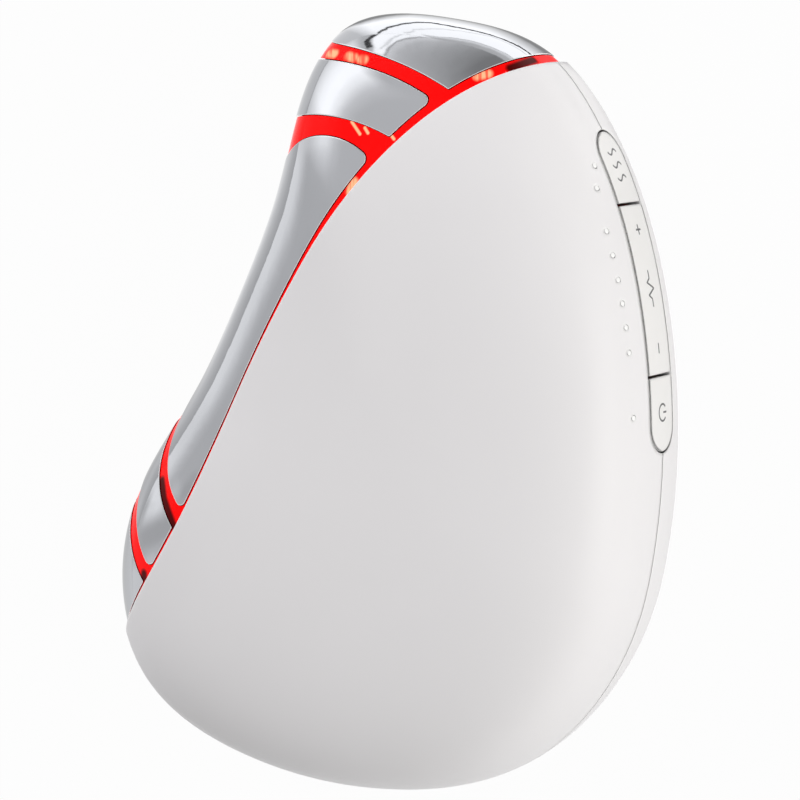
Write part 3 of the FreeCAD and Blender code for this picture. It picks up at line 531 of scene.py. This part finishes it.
def power_lines():
    """An open ring with a bar in its gap, which faces the rear."""
    turns = steps((POWER_GAP, 2 * math.pi - POWER_GAP), RING_STEPS)
    ring = [(POWER_PLACE + POWER_RADIUS * math.sin(turn), -POWER_RADIUS * math.cos(turn)) for turn in turns]
    bar = [(POWER_PLACE, POWER_RADIUS * share) for share in POWER_BAR_SHARES]
    return [ring, bar]


def spread(line):
    """The line in millimetres as points in metres, close together."""
    points = [Vector(pair) * MM for pair in line]
    close = [points[0]]
    for end in points[1:]:
        start = close[-1]
        count = max(1, math.ceil((end - start).length / SIGN_STEP))
        close += [start.lerp(end, share) for share in steps((0, 1), count)[1:]]
    return close


def stroke(node, points):
    """The vertices of a flat band of ink along points, with its underside sunk into the face."""
    vertices = []
    for i, point in enumerate(points):
        ahead = (points[min(i + 1, len(points) - 1)] - points[max(i - 1, 0)]).normalized()
        aside = Vector((-ahead.y, ahead.x)) * (SIGN_STROKE / 2)
        for side, lift in STROKE_SECTION:
            vertices.append(on_face(node, *(point + aside * side), lift))
    return vertices


def add_sign(name, body, lines):
    vertices = []
    faces = []
    for line in lines:
        points = spread(line)
        faces += ring_faces(len(vertices), len(points), len(STROKE_SECTION))
        vertices += stroke(nodes[body], points)
    sign = add_mesh(name, vertices, faces, SIGN_GREY)
    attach(sign, body)


# Lenses over the indicator lights: a low dome on a short barrel at the end of each light pipe

LENS_RADIUS = 0.345 * MM
LENS_RISE = 0.08 * MM
LENS_LIFT = 0.05 * MM
LENS_FOOT = 0.19 * MM
LENS_SIDES = 20
LENS_RINGS = 7
PIPE_END = 0.5 * MM
PIPE_APART = 1.0 * MM
FACE_SPAN = 0.9 * MM
FACE_CORNERS = ((1, 0), (0, 1), (-1, 0), (0, -1))
# Painted shade: the grey laid on the lenses' side that faces away from the upper right
LENS_SHADE_GREY = (0.30, 0.30, 0.30)
LENS_ROUGHNESS = 0.4
LENS_GRAIN = (900.0, 0.1)
SHADED_SIDE_AXIS = -(CAMERA_RIGHT + CAMERA_UP).normalized()
SHADED_SIDE_BAND = (-0.15, 0.15)


def pipe_places():
    """Where the light pipes end, along the strip and up its level."""
    points = [vertex.co - STRIP_ORIGIN for vertex in nodes["indicator_light_bar"].data.vertices]
    spots = sorted((point.dot(STRIP_ALONG), point.dot(UP), point.dot(STRIP_OUT)) for point in points)
    groups = [[spots[0]]]
    for spot in spots[1:]:
        if spot[0] - groups[-1][-1][0] > PIPE_APART:
            groups.append([])
        groups[-1].append(spot)
    places = []
    for group in groups:
        tip = max(spot[2] for spot in group)
        ends = [spot for spot in group if spot[2] > tip - PIPE_END]
        places.append((sum(spot[0] for spot in ends) / len(ends), sum(spot[1] for spot in ends) / len(ends)))
    return places


def lens_frame(along, level):
    """A lens's middle on the shell's face, two directions in that face and the one out of it."""
    corners = [on_face(nodes["front_shell"], along + i * FACE_SPAN, level + j * FACE_SPAN)
               for i, j in FACE_CORNERS]
    middle = sum(corners, Vector()) / len(corners)
    first = (corners[0] - corners[2]).normalized()
    out = first.cross(corners[1] - corners[3]).normalized()
    out = out if out.dot(STRIP_OUT) > 0 else -out
    tip = on_face(nodes["indicator_light_bar"], along, level)
    return tip + out * (middle - tip).dot(out), first, out.cross(first), out


def lens_profile():
    """Radius and height over the face, from the foot of the barrel to the top of the dome."""
    profile = [(LENS_RADIUS, -LENS_FOOT)]
    for i in range(LENS_RINGS):
        turn = math.pi / 2 * i / LENS_RINGS
        profile.append((LENS_RADIUS * math.cos(turn), LENS_RISE * math.sin(turn) + LENS_LIFT))
    return profile


def lens_vertices(along, level):
    """The rings of one lens, square to the shell's face about its pipe."""
    centre, first, second, out = lens_frame(along, level)
    vertices = []
    for radius, rise in lens_profile():
        for side in range(LENS_SIDES):
            turn = 2 * math.pi * side / LENS_SIDES
            vertices.append(centre + (first * math.cos(turn) + second * math.sin(turn)) * radius + out * rise)
    return vertices


def lens_plastic():
    """Milky white, with a crescent of painted shade on the side that faces away from the upper right."""
    material, tree, shader = new_material("milky_lens")
    # Painted shade on the side that faces away from the upper right
    away = reckon_vectors(tree, "DOT_PRODUCT", face_normal(tree), SHADED_SIDE_AXIS)["Value"]
    body = drift(tree, FINISH_DRIFT, MILKY_WHITES)
    side_shaded = blend_colour(tree, stretch(tree, away, SHADED_SIDE_BAND), body, LENS_SHADE_GREY)
    tree.links.new(side_shaded, shader.inputs["Base Color"])
    shader.inputs["Roughness"].default_value = LENS_ROUGHNESS
    add_bump(tree, shader, LENS_GRAIN)
    return material


def add_lenses():
    vertices = []
    faces = []
    for along, level in pipe_places():
        faces += ring_faces(len(vertices), len(lens_profile()), LENS_SIDES)
        vertices += lens_vertices(along, level)
    lenses = add_mesh("indicator_lenses", vertices, faces, lens_plastic())
    lenses.data.shade_smooth()
    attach(lenses, "housing")


# World and floor

WHITE = (1, 1, 1, 1)
AMBIENT = 0.365
FLOOR_SIZE = 4.0
FLOOR_DROP = 0.05 * MM
FLOOR_GREY = (0.52, 0.52, 0.52, 1)
FLOOR_WHITE_SHARE = 0.97


def seen_directly(tree):
    """1 for rays from the camera, and for those that mirror or pass light."""
    path = tree.nodes.new("ShaderNodeLightPath")
    total = path.outputs["Is Camera Ray"]
    for other in ("Is Glossy Ray", "Is Transmission Ray"):
        total = reckon(tree, "MAXIMUM", total, path.outputs[other])
    return total


def add_world():
    """A white that is seen, and a softer one that lights."""
    world = bpy.data.worlds.new("studio")
    bpy.context.scene.world = world
    world.use_nodes = True
    tree = world.node_tree
    tree.nodes.clear()
    soft = tree.nodes.new("ShaderNodeBackground")
    soft.inputs["Color"].default_value = WHITE
    soft.inputs["Strength"].default_value = AMBIENT
    white = tree.nodes.new("ShaderNodeBackground")
    white.inputs["Color"].default_value = WHITE
    blend_shaders(tree, seen_directly(tree), soft, white, tree.nodes.new("ShaderNodeOutputWorld"))


def stage_mesh(name, vertices, faces, material):
    card = add_mesh(name, vertices, faces, material)
    return card


def add_floor():
    """A floor that is seen nearly white, and lights the part as a grey one."""
    material, tree, shader = new_material("white_floor")
    tree.nodes.remove(shader)
    matt = tree.nodes.new("ShaderNodeBsdfDiffuse")
    matt.inputs["Color"].default_value = FLOOR_GREY
    white = tree.nodes.new("ShaderNodeEmission")
    share = reckon(tree, "MULTIPLY", seen_directly(tree), FLOOR_WHITE_SHARE)
    blend_shaders(tree, share, matt, white, tree.nodes["Material Output"])
    half = FLOOR_SIZE / 2
    corners = [(x, y, -FLOOR_DROP) for x, y in ((-half, -half), (half, -half), (half, half), (-half, half))]
    stage_mesh("floor", corners, [(0, 1, 2, 3)], material)


# Cards that the chrome mirrors: a wall by bearing and rise, its foot, and a skirt on the floor by bearing
# and reach. Bearings are in degrees from +X, rises in degrees over the floor, and the skirt's reaches in
# millimetres

WALL_REACH = 600 * MM
WALL_BEARINGS = (90, 224)
WALL_BEARING_STEPS = 536
WALL_RISES = (0, 60)
WALL_RISE_STEPS = 120
FOOT_REACH = 590 * MM
FOOT_BEARINGS = (158, 190)
FOOT_STEPS = 40
FOOT_HEIGHT = 9 * MM
FOOT_LEVEL = 0.45
SKIRT_CENTRE = Vector((-8, 18, 0)) * MM
# Each stretch of the skirt's bearings with its steps, the middle one fine for the crown's lines
SKIRT_STRETCHES = (((50, 92), 40), ((93, 145), 260), ((146, 250), 100))
SKIRT_REACHES = (30, 540)
SKIRT_REACH_STEPS = 320

# Lights: the bearings where one starts, is full, falls and ends, and its levels by rise or by reach

WALL_LIGHTS = (
    ((145, 150, 178, 190),
     ((0, 1.3), (7, 1.62), (20, 2.1), (28, 2.28), (34, 2.28), (40, 1.89), (45, 1.25), (50, 1.0))),
    ((184, 193, 198, 201), ((0, 1.5), (10, 1.45), (15, 1.25), (20, 1.0), (24, 0.9))),
    ((197, 200, 202, 205), ((3, 0.9), (8, 1.4), (17, 1.55), (24, 1.25), (31, 0.8))),
    ((203, 206, 208, 212), ((0, 0.85), (12, 0.78), (60, 0.78))),
    ((209, 213, 224, 226), ((0, 1.2), (60, 1.2))),
)
SKIRT_LIGHTS = (
    ((40, 50, 138, 146), ((40, 1.7), (46, 2.2), (540, 2.2))),
    ((138, 146, 156, 165), ((40, 1.15), (540, 1.15))),
    ((182, 188, 208, 218), ((50, 1.1), (81, 0.95), (139, 0.85), (300, 0.78), (540, 0.72))),
    ((210, 219, 252, 254), ((76, 0.75), (90, 0.82), (125, 0.98), (190, 1.08), (300, 1.15), (540, 1.15))),
)
# The crown's light on the wall, whose edge leans: its levels by rise over that edge
CROWN_LEAN = 2.9
CROWN_LEVEL_BEARING = 129.2
CROWN_BEARINGS = (86, 90, 140, 141)
CROWN_GLOW = ((-2.0, 2.25), (-1.2, 0.5), (0.2, 0.5), (1.0, 1.45), (8, 1.05), (20, 0.80), (35, 0.62),
              (60, 0.40))

# Lines and shades that the crown mirrors. Each has its reaches by bearing on the skirt; a line widens as it
# goes out and climbs the wall, with its bearings by rise

LINE_REACHES = ((50, 48), (95, 49), (121, 53.5), (124, 58), (128, 71), (133, 101), (136, 150), (138, 205),
                (139, 260), (140, 600))
LINE_CLIMB = ((0, 139.8), (4, 141.0), (8, 142.7), (12, 142.4), (19, 142.0))
LINE_TOP = 18
LINE_HALF = 1.2
LINE_WIDTH = 2.2
LINE_GROWTH = 2.6
LINE_LEVEL = 0.08
FAINT_REACHES = ((50, 54), (103, 55), (107, 55.5), (111, 59), (116, 64), (120, 69), (123, 80), (127, 107),
                 (131, 211), (132.6, 600))
FAINT_CLIMB = ((0, 132.6), (2, 133.0), (9, 135.0), (15, 136.2), (21, 139.0))
FAINT_TOP = 21
FAINT_HALF = 0.5
FAINT_WIDTH = 1.2
FAINT_SHARE = 0.66
# The rim's shade and the far floor's, whose levels follow the share of their reach
RIM_REACHES = ((50, 42), (80, 42), (88, 53), (97, 53), (108, 50), (118, 51), (126, 54), (134, 66), (140, 70),
               (146, 60), (150, 30))
RIM_LIGHT = ((0.70, 0.38), (0.76, 0.9), (0.85, 1.5), (0.95, 2.1), (1.05, 2.4))
RIM_END = 150
EDGE_REACHES = ((50, 105), (103, 110), (117, 120), (122, 144), (128, 227), (130, 600))
EDGE_SHADE = ((0.97, 0.0), (0.98, -1.6), (1.01, -1.6), (1.02, -0.6), (1.5, -1.25), (6, -1.4))
EDGE_END = 130


def share_at(bearing, bearings):
    """1 between a light's full bearings, 0 beyond its ends."""
    return between(tuple(zip(bearings, (0.0, 1.0, 1.0, 0.0))), bearing)


def lit(lights, bearing, other):
    """White, with each light or shade added where its bearings are."""
    level = 1.0
    for bearings, levels in lights:
        level += share_at(bearing, bearings) * (between(levels, other) - 1.0)
    return level


def on_climb(climb, top, half, bearing, rise):
    """Whether a place of the wall is on a line that climbs it."""
    return rise < top and abs(bearing - between(climb, rise)) < half


def on_line(reaches, width, bearing, reach):
    """Whether a place of the floor is on a line, which ends with its last bearing."""
    near = between(reaches, bearing)
    widened = width * (near / reaches[0][1]) ** LINE_GROWTH
    return bearing <= reaches[-1][0] and near <= reach <= near + widened


def wall_light(bearing, rise):
    """The wall's lights and the crown's, with the crown's lines."""
    if on_climb(LINE_CLIMB, LINE_TOP, LINE_HALF, bearing, rise):
        return LINE_LEVEL
    crown = between(CROWN_GLOW, rise - CROWN_LEAN * (bearing - CROWN_LEVEL_BEARING))
    level = lit(WALL_LIGHTS, bearing, rise) + share_at(bearing, CROWN_BEARINGS) * (crown - 1.0)
    if on_climb(FAINT_CLIMB, FAINT_TOP, FAINT_HALF, bearing, rise):
        level *= FAINT_SHARE
    return level


def skirt_light(bearing, reach):
    """The floor's lights, with the crown's lines and shades."""
    if on_line(LINE_REACHES, LINE_WIDTH, bearing, reach):
        return LINE_LEVEL
    level = lit(SKIRT_LIGHTS, bearing, reach)
    if bearing < EDGE_END:
        level += between(EDGE_SHADE, reach / between(EDGE_REACHES, bearing))
    if on_line(FAINT_REACHES, FAINT_WIDTH, bearing, reach):
        level *= FAINT_SHARE
    if bearing < RIM_END:
        level = min(level, between(RIM_LIGHT, reach / between(RIM_REACHES, bearing)))
    return level


def foot_light(bearing, height):
    return FOOT_LEVEL


def wall_place(bearing, rise):
    return round_about(WALL_REACH, bearing) + UP * (WALL_REACH * math.tan(math.radians(rise)))


def foot_place(bearing, height):
    return round_about(FOOT_REACH, bearing) + UP * height


def skirt_place(bearing, reach):
    return SKIRT_CENTRE + round_about(reach * MM, bearing) + UP * FLOOR_DROP


def card_material(name):
    """Light alone, as strong as the card's own levels."""
    material, tree, shader = new_material(name)
    tree.nodes.remove(shader)
    glow = tree.nodes.new("ShaderNodeEmission")
    level = tree.nodes.new("ShaderNodeAttribute")
    level.attribute_name = "light"
    tree.links.new(level.outputs["Fac"], glow.inputs["Strength"])
    tree.links.new(glow.outputs[0], tree.nodes["Material Output"].inputs["Surface"])
    return material


def mirrored_card(name, columns, rows, place, light):
    """A card over a grid, which shows in shiny surfaces alone and whose light differs from point to point."""
    spots = [(column, row) for row in rows for column in columns]
    wide = len(columns)
    corners = [i + j * wide for j in range(len(rows) - 1) for i in range(wide - 1)]
    faces = [(i, i + 1, i + 1 + wide, i + wide) for i in corners]
    card = stage_mesh(name, [place(*spot) for spot in spots], faces, card_material(name + "_light"))
    levels = card.data.attributes.new("light", "FLOAT", "POINT")
    levels.data.foreach_set("value", [light(*spot) for spot in spots])
    card.visible_camera = False
    card.visible_diffuse = False
    card.visible_transmission = False
    card.visible_shadow = False


def add_cards():
    bearings = steps(WALL_BEARINGS, WALL_BEARING_STEPS)
    mirrored_card("wall", bearings, steps(WALL_RISES, WALL_RISE_STEPS), wall_place, wall_light)
    mirrored_card("wall_foot", steps(FOOT_BEARINGS, FOOT_STEPS), (0, FOOT_HEIGHT), foot_place, foot_light)
    bearings = [bearing for limits, count in SKIRT_STRETCHES for bearing in steps(limits, count)]
    reaches = growing_steps(SKIRT_REACHES, SKIRT_REACH_STEPS)
    mirrored_card("skirt", bearings, reaches, skirt_place, skirt_light)


# Lamps, each with its bearing, its power and its colour

LAMP_REACH = 0.85
LAMP_SIZE = 0.6
LAMP_RISE = math.radians(23)
LAMPS = {
    "right_softbox": (15, 6.6, (1.0, 0.99, 0.96)),
    "left_softbox": (150, 5.6, (1.0, 0.99, 1.0)),
}


def add_lamp(name, bearing, power, colour):
    """A soft lamp that the shiny surfaces don't mirror, since the wall stands for it there."""
    data = bpy.data.lights.new(name, "AREA")
    data.size = LAMP_SIZE
    data.energy = power
    data.color = colour
    lamp = bpy.data.objects.new(name, data)
    bpy.context.collection.objects.link(lamp)
    offset = round_about(LAMP_REACH, bearing) + UP * (LAMP_REACH * math.tan(LAMP_RISE))
    turn = offset.to_track_quat("Z", "Y").to_matrix().to_4x4()
    lamp.matrix_world = Matrix.Translation(CAMERA_TARGET + offset) @ turn
    lamp.visible_glossy = False


add_camera()
dress_nodes()
add_sign("heat_sign", "heat_key", heat_lines())
add_sign("level_signs", "level_rocker", level_lines())
add_sign("power_sign", "power_key", power_lines())
add_lenses()
add_world()
add_floor()
add_cards()
for lamp_name, lamp in LAMPS.items():
    add_lamp(lamp_name, *lamp)
bpy.context.scene.view_settings.view_transform = "Standard"
